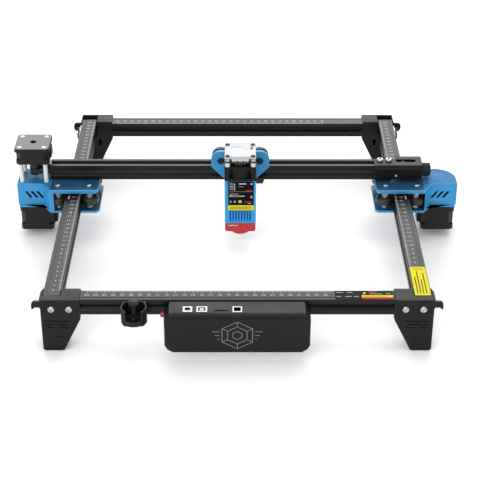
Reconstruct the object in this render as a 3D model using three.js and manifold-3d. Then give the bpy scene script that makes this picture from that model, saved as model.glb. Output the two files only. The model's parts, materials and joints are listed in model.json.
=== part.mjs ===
// Desktop laser cutter: an open frame of slotted aluminium bars on four moulded legs, a gantry that runs
// along the two side rails, and a laser head on a carriage that runs along the gantry beam.
// Millimetres. +X to the right, +Y to the back, +Z up, z = 0 on the table.
import * as THREE from "three";
import { mergeVertices } from "three/addons/utils/BufferGeometryUtils.js";
import Module from "manifold-3d";

// Driving dimensions.
const BAR = 20; // side of every square bar
const FRAME_TOP = 68.8; // height of the rails' top faces
const FRAME_DEPTH = 488.5; // front face of the front legs to back face of the rear legs
const RAIL_X = 210.25; // centre of each side rail
const LEG_OUT = 222.5; // outer face of the legs
const LEG_IN = 178; // inner face of the legs
const LEG_DEPTH = 25;
const GAP = 0.3; // clearance between pieces that touch
const FRONT_REACH = 30.2; // how far the gauge cup stands out in front of the legs
const ORIGIN_Y = (FRAME_DEPTH - FRONT_REACH) / 2;

const GANTRY_Y = 280.7; // rest position of the gantry's centre line
const BEAM_Z = 88.5; // centre height of the gantry beam
const BEAM_LEFT = -241;
const BEAM_RIGHT = 199;
const WHEEL_OFFSET = 20; // wheel axle to the centre of the bar it rolls on
const WHEEL_R = 11.7;
const WHEEL_HALF = 4.8;
const WHEEL_Y = 26; // front and rear rollers, from the gantry's centre line
const MOTOR = 42.3;
const MOTOR_X = 261.5;
const BELT_R = 6.37; // pitch radius of a 20-tooth pulley
const BELT_HALF = 3; // half of the belt's width
const BELT_T = 1.3; // thickness of the belt
const IDLER_X = 214;

const HEAD_X = 3.75; // rest position of the carriage's centre
const HEAD_Y = -38.8; // centre of the laser module, from the gantry's centre line
const HEAD_HALF = 19.8;

const wasm = await Module();
wasm.setup();

// ---------------------------------------------------------------- solids

function solidOf(geometry) {
  const bare = geometry.clone();
  bare.deleteAttribute("normal");
  bare.deleteAttribute("uv");
  const merged = mergeVertices(bare, 1e-4);
  const made = new wasm.Manifold(
    new wasm.Mesh({
      numProp: 3,
      vertProperties: merged.attributes.position.array,
      triVerts: new Uint32Array(merged.index.array),
    }),
  );
  return made;
}

function geometryOf(solid) {
  const mesh = solid.getMesh();
  const geometry = new THREE.BufferGeometry();
  geometry.setAttribute("position", new THREE.BufferAttribute(new Float32Array(mesh.vertProperties), 3));
  geometry.setIndex(new THREE.BufferAttribute(new Uint32Array(mesh.triVerts), 1));
  geometry.computeVertexNormals();
  return geometry;
}

// A box between two corners, given in any order along each axis.
function box(xa, xb, ya, yb, za, zb) {
  const geometry = new THREE.BoxGeometry(Math.abs(xb - xa), Math.abs(yb - ya), Math.abs(zb - za));
  geometry.translate((xa + xb) / 2, (ya + yb) / 2, (za + zb) / 2);
  return solidOf(geometry);
}

function shapeOf(points, holes = []) {
  const shape = new THREE.Shape(points.map(([a, b]) => new THREE.Vector2(a, b)));
  for (const hole of holes) {
    shape.holes.push(new THREE.Path(hole.map(([a, b]) => new THREE.Vector2(a, b))));
  }
  return shape;
}

// Prism over an outline in the XY plane, from z = low to z = high.
function alongZ(points, low, high, holes = []) {
  const geometry = new THREE.ExtrudeGeometry(shapeOf(points, holes), {
    depth: high - low,
    bevelEnabled: false,
  });
  geometry.translate(0, 0, low);
  return solidOf(geometry);
}

// Prism over an outline in the YZ plane, from x = low to x = high.
function alongX(points, low, high, holes = []) {
  const geometry = new THREE.ExtrudeGeometry(shapeOf(points, holes), {
    depth: high - low,
    bevelEnabled: false,
  });
  geometry.applyMatrix4(new THREE.Matrix4().set(0, 0, 1, low, 1, 0, 0, 0, 0, 1, 0, 0, 0, 0, 0, 1));
  return solidOf(geometry);
}

// Prism over an outline in the XZ plane, from y = low to y = high.
function alongY(points, low, high, holes = []) {
  const geometry = new THREE.ExtrudeGeometry(shapeOf(points, holes), {
    depth: high - low,
    bevelEnabled: false,
  });
  geometry.rotateX(Math.PI / 2);
  geometry.translate(0, high, 0);
  return solidOf(geometry);
}

function circle(cx, cy, radius, count) {
  const points = [];
  for (let i = 0; i < count; i++) {
    const angle = (2 * Math.PI * i) / count;
    points.push([cx + radius * Math.cos(angle), cy + radius * Math.sin(angle)]);
  }
  return points;
}

// An upright round bar.
function rod(cx, cy, radius, low, high, count = 16) {
  return alongZ(circle(cx, cy, radius, count), low, high);
}

// A turned body about the Z axis, from an outline of [radius, height] that starts and ends on the axis
// or closes on itself.
function turned(outline, count) {
  const points = outline.map(([radius, height]) => new THREE.Vector2(radius, height));
  const geometry = new THREE.LatheGeometry(points, count);
  geometry.rotateX(Math.PI / 2);
  const made = solidOf(geometry);
  if (made.volume() > 0) {
    return made;
  }
  return solidOf(reversed(geometry));
}

function reversed(geometry) {
  const flipped = geometry.clone();
  const index = flipped.index.array;
  for (let i = 0; i < index.length; i += 3) {
    const kept = index[i + 1];
    index[i + 1] = index[i + 2];
    index[i + 2] = kept;
  }
  return flipped;
}

function moved(solid, x, y, z) {
  return solid.translate([x, y, z]);
}

// Turns a body made about Z so that its axis lies along Y or X.
function axisToY(solid) {
  return solid.rotate([90, 0, 0]);
}

function axisToX(solid) {
  return solid.rotate([0, 90, 0]);
}

function union(list) {
  return list.reduce((sum, next) => sum.add(next));
}

function cut(body, tools) {
  return tools.reduce((left, tool) => left.subtract(tool), body);
}

// The same outline on the other side of the machine.
function mirrored(points, side) {
  return points.map(([x, y]) => [x * side, y]);
}

// ---------------------------------------------------------------- meshes

const COLOURS = {
  black: 0x2a2a2c,
  dark: 0x1b1b1d,
  blue: 0x4a9bd4,
  red: 0xc8283a,
  white: 0xf2f2f0,
  steel: 0xb8bcc0,
  green: 0x2f6b46,
  rubber: 0x151515,
};

function add(group, name, solid, colour, position = [0, 0, 0]) {
  const material = new THREE.MeshStandardMaterial({ color: COLOURS[colour] });
  const mesh = new THREE.Mesh(geometryOf(solid), material);
  mesh.name = name;
  mesh.position.set(...position);
  group.add(mesh);
  return mesh;
}

const machine = new THREE.Group();
machine.name = "laser_cutter";
machine.position.set(0, -ORIGIN_Y, 0);

const frame = new THREE.Group();
machine.add(frame);

const gantry = new THREE.Group();
gantry.position.set(0, GANTRY_Y, 0);
machine.add(gantry);

const carriage = new THREE.Group();
carriage.position.set(HEAD_X, 0, 0);
gantry.add(carriage);

// ---------------------------------------------------------------- bars

// Outline of one slotted side of a bar, from left to right, with the side at the top.
const SLOT = [
  [-5, 10],
  [-3.3, 8.3],
  [-3.3, 8],
  [-5.5, 8],
  [-5.5, 6.6],
  [-2.9, 3.9],
  [2.9, 3.9],
  [5.5, 6.6],
  [5.5, 8],
  [3.3, 8],
  [3.3, 8.3],
  [5, 10],
];

// A flat side with one shallow line groove, as on the side that carries the ruler.
const GROOVED = [
  [-5.6, 10],
  [-5.6, 9.4],
  [-4.6, 9.4],
  [-4.6, 10],
];

// A square bar's outline: the four sides in the order top, right, bottom, left.
function barOutline(sides) {
  const half = BAR / 2;
  const corner = 0.7;
  const points = [];
  sides.forEach((side, turn) => {
    const angle = (-Math.PI / 2) * turn;
    const run = [[-half + corner, half], ...side, [half - corner, half]];
    for (const [a, b] of run) {
      const x = a * Math.cos(angle) - b * Math.sin(angle);
      const y = a * Math.sin(angle) + b * Math.cos(angle);
      points.push([x, y]);
    }
  });
  return points;
}

const MIRROR_GROOVED = GROOVED.map(([a, b]) => [-a, b]).reverse();
const BAR_HOLE = circle(0, 0, 2.1, 12);
const BAR_Z = FRAME_TOP - BAR / 2;
const CROSS_LENGTH = LEG_IN - GAP;
const FRONT_BAR_Y = 10.7;
const REAR_BAR_Y = 467.3;
const RAIL_FRONT = 9.7;
const RAIL_REAR = 471;
const FRONT_WALL = 9.4; // thickness of a front leg in front of its rail
const REAR_WALL = 3.5; // thickness of a rear leg at the far end of its pocket
const REAR_HOOK = 21; // the rear hook tabs, from the rear legs' back face

function barAlongX(front) {
  const outline = barOutline([front ? GROOVED : MIRROR_GROOVED, SLOT, SLOT, SLOT]);
  return alongX(outline, -CROSS_LENGTH, CROSS_LENGTH, [BAR_HOLE]);
}

function barAlongY(side) {
  const outline = barOutline([side < 0 ? GROOVED : MIRROR_GROOVED, SLOT, SLOT, SLOT]);
  return alongY(outline, RAIL_FRONT, RAIL_REAR, [BAR_HOLE]);
}

add(frame, "front_bar", barAlongX(true), "black", [0, FRONT_BAR_Y, BAR_Z]);
add(frame, "rear_bar", barAlongX(false), "black", [0, REAR_BAR_Y, BAR_Z]);
add(frame, "left_rail", barAlongY(-1), "black", [-RAIL_X, 0, BAR_Z]);
add(frame, "right_rail", barAlongY(1), "black", [RAIL_X, 0, BAR_Z]);

// ---------------------------------------------------------------- legs

// A moulded corner leg. Its outline is the face that looks away from the machine, and the rail ends in
// a pocket that is open at the top. A hook tab for the belt stands out at the side.
function leg(hookDepth, wall) {
  const outline = [
    [-LEG_OUT, 2],
    [-LEG_OUT + 2, 0],
    [-200, 0],
    [-198, 1.6],
    [-LEG_IN, 42.5],
    [-LEG_IN, FRAME_TOP - 1],
    [-LEG_IN - 1, FRAME_TOP],
    [-LEG_OUT + 1.5, FRAME_TOP],
    [-LEG_OUT, FRAME_TOP - 1.5],
  ];
  const hook = [
    [-LEG_OUT + 1, 66.5],
    [-228.6, 66.5],
    [-231.4, 65.4],
    [-232.5, 62.6],
    [-232.5, 56.6],
    [-230, 56.6],
    [-229, 59.4],
    [-226.6, 61.2],
    [-224.4, 60.2],
    [-223.3, 57.6],
    [-LEG_OUT + 1, 57],
  ];
  const block = alongY(outline, 0, LEG_DEPTH);
  const tab = alongY(hook, hookDepth, hookDepth + 3.8);
  const pocket = box(-220.55, -199.95, wall, LEG_DEPTH + 1, 48.5, FRAME_TOP + 1);
  // The belt's way through the side wall.
  const beltWay = box(-LEG_OUT - 1, -219, 9.4, LEG_DEPTH + 1, 54.8, 62.8);
  // A slot for a cable tie, in the face towards the inside of the machine.
  const tieSlot = box(-198.5, -193.9, 13, LEG_DEPTH + 1, 31.5, 41.5);
  const slits = [
    [-218.4, -191, 40.3],
    [-217.3, -207.7, 36.2],
    [-205.7, -193, 36.2],
    [-215.5, -207.7, 32],
    [-201.4, -190.5, 32],
    [-206.9, -200.3, 19.9],
    [-215.3, -203.9, 65.8],
  ].map(([low, high, z]) => box(low, high, -1, 0.9, z - 0.6, z + 0.6));
  const upright = box(-219.2, -218, -1, 0.9, 52, 61);
  const seats = [-RAIL_X, -190.2].map((x) => moved(axisToY(rod(0, 0, 2.6, -5, 5, 12)), x, 4, 56.6));
  return cut(block.add(tab), [pocket, beltWay, tieSlot, ...slits, upright, seats[0], seats[1]]);
}

function placeLeg(name, side, rear, hookDepth) {
  let body = leg(hookDepth, rear ? REAR_WALL : FRONT_WALL);
  if (side > 0) {
    body = body.mirror([1, 0, 0]);
  }
  if (rear) {
    body = body.mirror([0, 1, 0]);
  }
  add(frame, name, body, "black", [0, rear ? FRAME_DEPTH : 0, 0]);
}

placeLeg("leg_front_left", -1, false, 0);
placeLeg("leg_front_right", 1, false, 0);
placeLeg("leg_rear_left", -1, true, REAR_HOOK);
placeLeg("leg_rear_right", 1, true, REAR_HOOK);

// ---------------------------------------------------------------- Y belts

// A flat strip that follows a path of [x, y] points, one belt thickness wide.
function strip(path, thickness) {
  const left = [];
  const right = [];
  path.forEach(([x, y], i) => {
    const before = path[Math.max(i - 1, 0)];
    const after = path[Math.min(i + 1, path.length - 1)];
    const a = new THREE.Vector2(x - before[0], y - before[1]);
    const b = new THREE.Vector2(after[0] - x, after[1] - y);
    if (a.lengthSq() === 0) {
      a.copy(b);
    }
    if (b.lengthSq() === 0) {
      b.copy(a);
    }
    a.normalize();
    b.normalize();
    const tangent = a.clone().add(b).normalize();
    const stretch = thickness / 2 / Math.max(tangent.dot(a), 0.5);
    left.push([x - tangent.y * stretch, y + tangent.x * stretch]);
    right.push([x + tangent.y * stretch, y - tangent.x * stretch]);
  });
  return [...left, ...right.reverse()];
}

// Points on an arc, in degrees.
function arc(cx, cy, radius, from, to, steps) {
  const points = [];
  for (let i = 0; i <= steps; i++) {
    const angle = THREE.MathUtils.degToRad(from + ((to - from) * i) / steps);
    points.push([cx + radius * Math.cos(angle), cy + radius * Math.sin(angle)]);
  }
  return points;
}

const BELT_LANE = 215.25; // the Y belt's line inside the rail's outer slot
const HOOK_LANE = 224.6; // and beside the legs
const rearHookFace = FRAME_DEPTH - REAR_HOOK - 3.8;

function yBelt(side) {
  const half = [
    [-230.4, 5.2],
    [-226.6, 5.2],
    [-225.1, 5.9],
    [-HOOK_LANE, 7.6],
    [-HOOK_LANE, 29],
    [-BELT_LANE, 45],
  ];
  const rear = half.map(([x, y]) => [x, rearHookFace - 1 - y + 4.2]).reverse();
  const path = mirrored([...half, ...rear], -side);
  return alongZ(strip(path, BELT_T), BAR_Z - BELT_HALF, BAR_Z + BELT_HALF);
}

add(frame, "y_belt_left", yBelt(-1), "rubber");
add(frame, "y_belt_right", yBelt(1), "rubber");

// ---------------------------------------------------------------- control box

const BUTTON_Y = -7.6;
const BUTTON_Z = 54.8;
const BOX_FRONT = -27;
const BOX_BACK = -0.2;

// The case's face outline, drawn in by an inset all round.
function boxOutline(inset) {
  const half = 82 - inset;
  const top = 67.5 - inset;
  const bottom = 15 + inset;
  const right = [
    [half - 6, top],
    [half, top - 9],
    [half, bottom + 9],
    [half - 2.6, bottom + 4],
    [half - 9, bottom],
  ];
  return [...right, ...right.map(([x, z]) => [-x, z]).reverse()];
}

const SOCKETS = {
  power: { x: -55.5, half: 5.3, front: -20.8, back: -9.9 },
  data: { x: -39.6, half: 6, front: -20.8, back: -9.9 },
  signal: { x: 0, half: 5.3, front: -21.3, back: -9.9 },
};

function controlShell() {
  const bevelled = new THREE.ExtrudeGeometry(shapeOf(boxOutline(0)), {
    depth: 60,
    bevelEnabled: true,
    bevelThickness: 3,
    bevelSize: 3,
    bevelOffset: -3,
    bevelSegments: 2,
  });
  bevelled.rotateX(Math.PI / 2);
  bevelled.translate(0, BOX_FRONT + 63, 0);
  const whole = solidOf(bevelled).intersect(box(-100, 100, -100, BOX_BACK, 0, 100));
  const inside = alongY(boxOutline(2.4), BOX_FRONT + 3.4, 5);
  const openings = Object.values(SOCKETS).map((s) =>
    box(s.x - s.half - 0.4, s.x + s.half + 0.4, s.front - 0.4, s.back + 0.4, 60, 70),
  );
  const cardSlot = box(-25.7, -10, -19.6, -17.6, 60, 70);
  const buttonHole = axisToX(rod(0, 0, 3.7, -6, 6, 20)).translate([-82, BUTTON_Y, BUTTON_Z]);
  return cut(whole, [inside, ...openings, cardSlot, buttonHole]);
}

function controlBoard() {
  const sheet = box(-70, 62, -9.6, -8, 19.5, 63);
  const bodies = Object.values(SOCKETS).map((s) =>
    union([
      box(s.x - s.half, s.x + s.half, s.front, s.back, 50, 67.2),
      box(s.x - s.half, s.x + s.half, s.back - 1, -9.2, 50, 60),
    ]),
  );
  const processor = box(-30, -16, -11.2, -9.5, 34, 48);
  const drivers = [12, 28, 44].map((x) => box(x, x + 11, -18, -9.5, 30, 46));
  const barrel = rod(SOCKETS.power.x, -15.3, 3.4, 56, 70, 20);
  const post = rod(SOCKETS.power.x, -15.3, 1, 54, 64, 8);
  const dataMouth = box(-43.8, -35.4, -19, -11.8, 56, 70);
  const dataTongue = box(-42.2, -37, -16.6, -14.2, 54, 65);
  const signalMouth = box(-3.9, 3.9, -19.6, -11.6, 56, 70);
  const made = cut(union([sheet, ...bodies, processor, ...drivers]), [barrel, dataMouth, signalMouth]);
  return union([made, post, dataTongue]);
}

add(frame, "control_case", controlShell(), "black");
add(frame, "control_back_plate", alongY(boxOutline(2.8), -2.6, -0.5), "dark");
add(frame, "control_board", controlBoard(), "green");

const buttonOutline = [
  [0, -5],
  [4.2, -5],
  [4.2, -3.6],
  [3.2, -3.6],
  [3.2, 4.6],
  [2.5, 5.3],
  [0, 5.3],
];
const button = turned(buttonOutline, 20).rotate([0, -90, 0]);
add(frame, "power_button", button, "red", [-81.2, BUTTON_Y, BUTTON_Z]);

// ---------------------------------------------------------------- gauge cup and pin

const CUP_X = -115.5;
const CUP_Y = -15.5;

// A round holder that is open at the front, with a floor and a seat for the gauge pin.
function gaugeCup() {
  const wall = cut(rod(0, 0, 14.7, 51, 70.4, 28), [rod(0, 0, 12.9, 54, 72, 28)]);
  const frontGap = box(-8.5, 8.5, -20, -8, 57.5, 72);
  const notch = box(-9, 9, -20, -10, 50, 52.2);
  const pad = box(-13.5, 13.5, 11.5, 15.1, 52.5, 68);
  const seat = rod(0, 0, 5.4, 53.4, 58, 20);
  return cut(union([cut(wall, [frontGap, notch]), pad, seat]), [rod(0, 0, 3.6, 55, 60, 20)]);
}

function gaugePin() {
  const outline = [
    [0, 55.4],
    [2.6, 55.4],
    [3.1, 56],
    [3.1, 73],
    [5.6, 73.6],
    [6.2, 74.8],
    [6.2, 75.8],
    [5, 77],
    [2.6, 77.7],
    [0, 77.9],
  ];
  return turned(outline, 20);
}

add(frame, "gauge_cup", gaugeCup(), "dark", [CUP_X, CUP_Y, 0]);
add(frame, "gauge_pin", gaugePin(), "steel", [CUP_X, CUP_Y, 0]);

// ---------------------------------------------------------------- gantry beam and brackets

const PLATE_TOP = BEAM_Z - BAR / 2 - GAP;
const PLATE_LOW = PLATE_TOP - 5;
const SHELF_TOP = 46.8;
const SHELF_LOW = 43.8;
const ROLLER_SPOTS = [
  [RAIL_X + WHEEL_OFFSET, -WHEEL_Y],
  [RAIL_X + WHEEL_OFFSET, WHEEL_Y],
  [RAIL_X - WHEEL_OFFSET, -WHEEL_Y],
  [RAIL_X - WHEEL_OFFSET, WHEEL_Y],
];

const fourSlots = barOutline([SLOT, SLOT, SLOT, SLOT]);
add(gantry, "x_beam", alongX(fourSlots, BEAM_LEFT, BEAM_RIGHT, [BAR_HOLE]), "black", [0, 0, BEAM_Z]);

// An axle bolt with its upper sleeve and lower nut, which hold a roller between them.
function axle(low, high, rollerLow, rollerHigh, x, y, seatLow) {
  return union([
    rod(x, y, 2.5, low, high, 12),
    rod(x, y, 4, rollerHigh + 0.35, high, 12),
    rod(x, y, 4, seatLow, rollerLow - 0.35, 6),
  ]);
}

// Upper bracket plate: it carries the beam and the roller axles. Tabs fold down at its outer corners:
// front and rear on the left plate, rear only on the right plate.
function upperPlate(side) {
  const outline = [
    [240.4, -39.2],
    [181, -39.2],
    [178, -36],
    [177.5, -14],
    [177.5, 14],
    [178, 36],
    [181, 39.2],
    [240.4, 39.2],
  ];
  const plate = alongZ(mirrored(outline, side), PLATE_LOW, PLATE_TOP);
  const ends = side < 0 ? [-1, 1] : [1];
  const tabs = ends.map((end) =>
    box(side * 235, side * 240.4, end * 39.2, end * 37.2, SHELF_TOP + GAP, PLATE_LOW + 0.5),
  );
  const axles = ROLLER_SPOTS.map(([x, y]) =>
    axle(
      SHELF_LOW - 2,
      PLATE_LOW + 1,
      BAR_Z - WHEEL_HALF,
      BAR_Z + WHEEL_HALF,
      side * x,
      y,
      SHELF_TOP + GAP,
    ),
  );
  return union([plate, ...tabs, ...axles]);
}

// Lower bracket plate: it closes the roller cage below the rail and carries the motor further out.
function lowerPlate(side) {
  const outline = [
    [282.5, -20.7],
    [250.5, -20.7],
    [240.5, -36],
    [182, -36],
    [178, -32],
    [178, 32],
    [182, 36],
    [240.5, 36],
    [250.5, 21],
    [282.5, 21],
  ];
  const holes = ROLLER_SPOTS.map(([x, y]) => circle(side * x, y, 2.95, 12));
  const pilot = circle(side * MOTOR_X, 0, 11.6, 24);
  return alongZ(mirrored(outline, side), SHELF_LOW, SHELF_TOP, [...holes, pilot]);
}

// A cover over the belt drive: closed at the top, front, outside and back, open below and to the rail.
function cover(side) {
  const low = SHELF_TOP + GAP;
  const rounded = side > 0 ? 25 : 6;
  const outline = (inset) => [
    [283.5 - inset, -20.7 + inset],
    [250.8 + inset / 2, -20.7 + inset],
    [240.8, -36 + inset * 1.2],
    [240.8, 30 - inset],
    [252, 21.3 - inset],
    ...arc(283.5 - rounded, 21.3 - rounded, rounded - inset, 90, 0, side > 0 ? 8 : 3),
  ];
  const whole = alongZ(mirrored(outline(0), side), low, PLATE_TOP);
  const inside = alongZ(mirrored(outline(2), side), low - 1, PLATE_TOP - 2.4);
  const inward = box(side * 238, side * 243, -33, 31, low - 1, PLATE_TOP - 2.4);
  const vents = [-1, 0, 1].map((i) => {
    const x = 262 + i * 7.4;
    const vent = [
      [x - 5.4, 67],
      [x - 1.6, 67],
      [x + 5.4, 57.4],
      [x + 1.6, 57.4],
    ];
    return alongY(mirrored(vent.map(([a, b]) => [524 - a, b]), side), -22, -18);
  });
  const tools = [inside, inward, ...vents];
  if (side > 0) {
    tools.push(cut(rod(259, 2, 14, PLATE_TOP - 0.5, PLATE_TOP + 1, 32), [rod(259, 2, 13, 70, 90, 32)]));
  }
  return cut(whole, tools);
}

function placeBracket(tag, side) {
  add(gantry, "upper_plate_" + tag, upperPlate(side), "blue");
  add(gantry, "lower_plate_" + tag, lowerPlate(side), "blue");
  add(gantry, "drive_cover_" + tag, cover(side), "blue");
}

placeBracket("left", -1);
placeBracket("right", 1);

// ---------------------------------------------------------------- motors

// A square stepper motor with bevelled corners: two end caps and a slightly smaller core, with a
// connector on one side.
function motorBody(height, socketSide, caps, socket) {
  const outline = (size, corner) => [
    [size - corner, -size],
    [size, -size + corner],
    [size, size - corner],
    [size - corner, size],
    [-size + corner, size],
    [-size, size - corner],
    [-size, -size + corner],
    [-size + corner, -size],
  ];
  const lower = alongZ(outline(caps.lowerHalf, 3), 0, caps.lowerHeight);
  const core = alongZ(outline(caps.coreHalf, 6), caps.lowerHeight - 1, height - caps.upperHeight + 1);
  const upper = alongZ(outline(caps.upperHalf, 3), height - caps.upperHeight, height);
  const near = socketSide * (caps.coreHalf - 1);
  const far = socketSide * (caps.coreHalf + socket.reach);
  const plug = box(near, far, -8, 8, socket.low, socket.shoulder);
  const slope = alongX(
    [
      [-8, socket.shoulder - 0.5],
      [8, socket.shoulder - 0.5],
      [6, socket.high],
      [-6, socket.high],
    ],
    Math.min(near, far),
    Math.max(near, far),
  );
  return union([lower, core, upper, plug, slope]);
}

const Y_MOTOR_CAPS = {
  lowerHalf: MOTOR / 2,
  lowerHeight: 7,
  coreHalf: MOTOR / 2 - 0.4,
  upperHalf: MOTOR / 2,
  upperHeight: 7,
};
const Y_MOTOR_SOCKET = { reach: 4.4, low: 4, shoulder: 15, high: 19 };
const X_MOTOR_CAPS = { lowerHalf: 20.9, lowerHeight: 6, coreHalf: 20.6, upperHalf: 22, upperHeight: 5.5 };
const X_MOTOR_SOCKET = { reach: 2.5, low: 3.4, shoulder: 14, high: 17 };

function yMotor(side) {
  const height = 32.7;
  const body = motorBody(height, -side, Y_MOTOR_CAPS, Y_MOTOR_SOCKET);
  const boss = rod(0, 0, 11, height - 1, height + 2, 24);
  const bearing = rod(0, 0, 2.9, height - 7, height + 3, 16);
  return cut(body.add(boss), [bearing]);
}

// A toothed belt wheel on its motor shaft, with a flange above and below the belt.
function drivePulley(shaftLow, beltMid, shaftHigh, hubLow, hubHigh) {
  const low = beltMid - 3.6;
  const high = beltMid + 3.6;
  const teeth = [];
  const count = 20;
  for (let i = 0; i < count; i++) {
    const at = (2 * Math.PI * i) / count;
    const half = Math.PI / count;
    teeth.push([5.66 * Math.cos(at), 5.66 * Math.sin(at)]);
    teeth.push([5 * Math.cos(at + half), 5 * Math.sin(at + half)]);
  }
  return union([
    rod(0, 0, 2.5, shaftLow, shaftHigh, 12),
    alongZ(teeth, low, high),
    rod(0, 0, 7.6, low - 1.2, low, 20),
    rod(0, 0, 7.6, high, high + 1.2, 20),
    rod(0, 0, 7.2, hubLow, hubHigh, 20),
  ]);
}

const Y_MOTOR_LOW = SHELF_LOW - GAP - 32.7;
for (const [tag, side] of [
  ["left", -1],
  ["right", 1],
]) {
  add(gantry, "y_motor_" + tag, yMotor(side), "black", [side * MOTOR_X, 0, Y_MOTOR_LOW]);
  const pulley = drivePulley(SHELF_LOW - 5, BAR_Z, 70, BAR_Z + 4.7, 70);
  add(gantry, "y_pulley_" + tag, pulley, "steel", [side * MOTOR_X, 0, 0]);
}

// The Y belt's loop inside the bracket: off the front roller, round the pulley and back onto the rear
// roller.
function beltLoop(side) {
  const rollerX = -(RAIL_X + WHEEL_OFFSET);
  const outer = WHEEL_R + GAP + BELT_T / 2;
  const inner = BELT_R;
  const dx = -MOTOR_X - rollerX;
  const dy = WHEEL_Y;
  const distance = Math.hypot(dx, dy);
  const lean = THREE.MathUtils.radToDeg(Math.atan2(dy, dx));
  const open = THREE.MathUtils.radToDeg(Math.acos((outer + inner) / distance));
  const leave = lean - open;
  const meet = leave + 180;
  const front = [
    [rollerX + outer, -WHEEL_Y - 9],
    ...arc(rollerX, -WHEEL_Y, outer, 0, leave, 8),
    ...arc(-MOTOR_X, 0, inner, meet, 180, 7),
  ];
  const back = front.slice(0, -1).map(([x, y]) => [x, -y]).reverse();
  const path = mirrored([...front, ...back], -side);
  return alongZ(strip(path, BELT_T), BAR_Z - BELT_HALF, BAR_Z + BELT_HALF);
}

add(gantry, "y_belt_loop_left", beltLoop(-1), "rubber");
add(gantry, "y_belt_loop_right", beltLoop(1), "rubber");

const X_MOTOR_LOW = 105.5;
const X_MOTOR_HEIGHT = 22.4;

// The beam's drive motor hangs upside down, with its shaft pointing down at the belt.
function xMotor() {
  const body = motorBody(X_MOTOR_HEIGHT, 1, X_MOTOR_CAPS, X_MOTOR_SOCKET);
  const boss = rod(0, 0, 11, -2, 1, 24);
  const bearing = rod(0, 0, 2.9, -3, 7, 16);
  const backHole = rod(0, 0, 4, X_MOTOR_HEIGHT - 2.5, X_MOTOR_HEIGHT + 1, 20);
  return cut(body.add(boss), [bearing, backHole]);
}

add(gantry, "x_motor", xMotor(), "black", [-MOTOR_X, 0, X_MOTOR_LOW]);
const xPulley = drivePulley(80.6, BEAM_Z, X_MOTOR_LOW + 5, BEAM_Z + 4.7, BEAM_Z + 12.5);
add(gantry, "x_pulley", xPulley, "dark", [-MOTOR_X, 0, 0]);

const POST_SPOTS = {
  front_left: [-1, -1],
  front_right: [1, -1],
  rear_left: [-1, 1],
  rear_right: [1, 1],
};
for (const [tag, [a, b]] of Object.entries(POST_SPOTS)) {
  const post = rod(0, 0, 2.8, PLATE_TOP + GAP, X_MOTOR_LOW - GAP, 16);
  add(gantry, "motor_post_" + tag, post, "white", [-MOTOR_X + a * 15.5, b * 15.5, 0]);
}

// The X belt: a closed loop in the beam's front and rear slots.
function xBelt() {
  const path = (radius) => [
    ...arc(IDLER_X, 0, radius, -90, 90, 12),
    ...arc(-MOTOR_X, 0, radius, 90, 270, 12),
  ];
  const inside = BELT_R - BELT_T / 2 + 0.25;
  return alongZ(path(inside + BELT_T), -BELT_HALF, BELT_HALF, [path(inside)]);
}

add(gantry, "x_belt", xBelt(), "rubber", [0, 0, BEAM_Z]);

// ---------------------------------------------------------------- belt tensioner

const BLOCK_LEFT = 176.5;
const BLOCK_RIGHT = 238;

// A block over the beam's right end: a shelf that reaches over the beam, and a housing for the idler with
// a long slot in its top.
function tensionerBlock() {
  const profile = (back) => [
    [-16.5, 82.5],
    [-16.5, 97.6],
    [-13, 101],
    [back, 101],
    [back, 82.5],
  ];
  const shelf = alongX(profile(5.5), BLOCK_LEFT, 205.5);
  const housing = alongX(profile(12.5), 205, BLOCK_RIGHT);
  const chamber = box(BLOCK_LEFT - 1, BLOCK_RIGHT - 3, -10.3, 10.3, 80, BEAM_Z + 10.3);
  const slot = union([
    box(208, 227, -3.8, 3.8, 95, 103),
    rod(208, 0, 3.8, 95, 103, 16),
    rod(227, 0, 3.8, 95, 103, 16),
  ]);
  const screwWay = axisToX(rod(0, 0, 3.2, -5, 5, 16)).translate([BLOCK_RIGHT, 0, BEAM_Z]);
  const relief = box(218, 236, -18, -15.6, 86, 92);
  return cut(shelf.add(housing), [chamber, slot, screwWay, relief]);
}

add(gantry, "tensioner_block", tensionerBlock(), "black");

// The idler's fork, which the tensioning screw draws along the slot.
function idlerFork() {
  const back = box(223.4, 231, -8.5, 8.5, 80.8, 96.4);
  const ears = [
    [80.8, 83.2],
    [93.8, 96.4],
  ].map(([low, high]) => box(208, 224, -5, 5, low, high));
  const pin = rod(IDLER_X, 0, 2, 81, 99.6, 16);
  const thread = axisToX(rod(0, 0, 2.9, -8, 8, 16)).translate([231, 0, BEAM_Z]);
  return cut(union([back, ...ears, pin]), [thread]);
}

add(gantry, "idler_fork", idlerFork(), "steel");

const idlerOutline = [
  [2.4, -4.6],
  [7.4, -4.6],
  [7.4, -3.5],
  [5.6, -3.5],
  [5.6, 3.5],
  [7.4, 3.5],
  [7.4, 4.6],
  [2.4, 4.6],
  [2.4, -4.6],
];
add(gantry, "x_idler", turned(idlerOutline, 20), "steel", [IDLER_X, 0, BEAM_Z]);

// A ribbed knob on the tensioning screw.
function tensionerKnob() {
  const ribs = [];
  const count = 18;
  for (let i = 0; i < count; i++) {
    const at = (2 * Math.PI * i) / count;
    const step = (2 * Math.PI) / count;
    for (const [radius, shift] of [
      [8.6, 0.1],
      [8.6, 0.45],
      [7.9, 0.6],
      [7.9, 0.95],
    ]) {
      ribs.push([radius * Math.cos(at + shift * step), radius * Math.sin(at + shift * step)]);
    }
  }
  const grip = alongX(ribs, 238.4, 249);
  const face = axisToX(rod(0, 0, 6.6, 0, 1, 20)).translate([248.8, 0, 0]);
  const screw = axisToX(rod(0, 0, 2.5, 0, 13, 16)).translate([226, 0, 0]);
  return union([grip, face, screw]);
}

add(gantry, "tensioner_knob", tensionerKnob(), "dark", [0, 0, BEAM_Z]);

// ---------------------------------------------------------------- rollers

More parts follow.
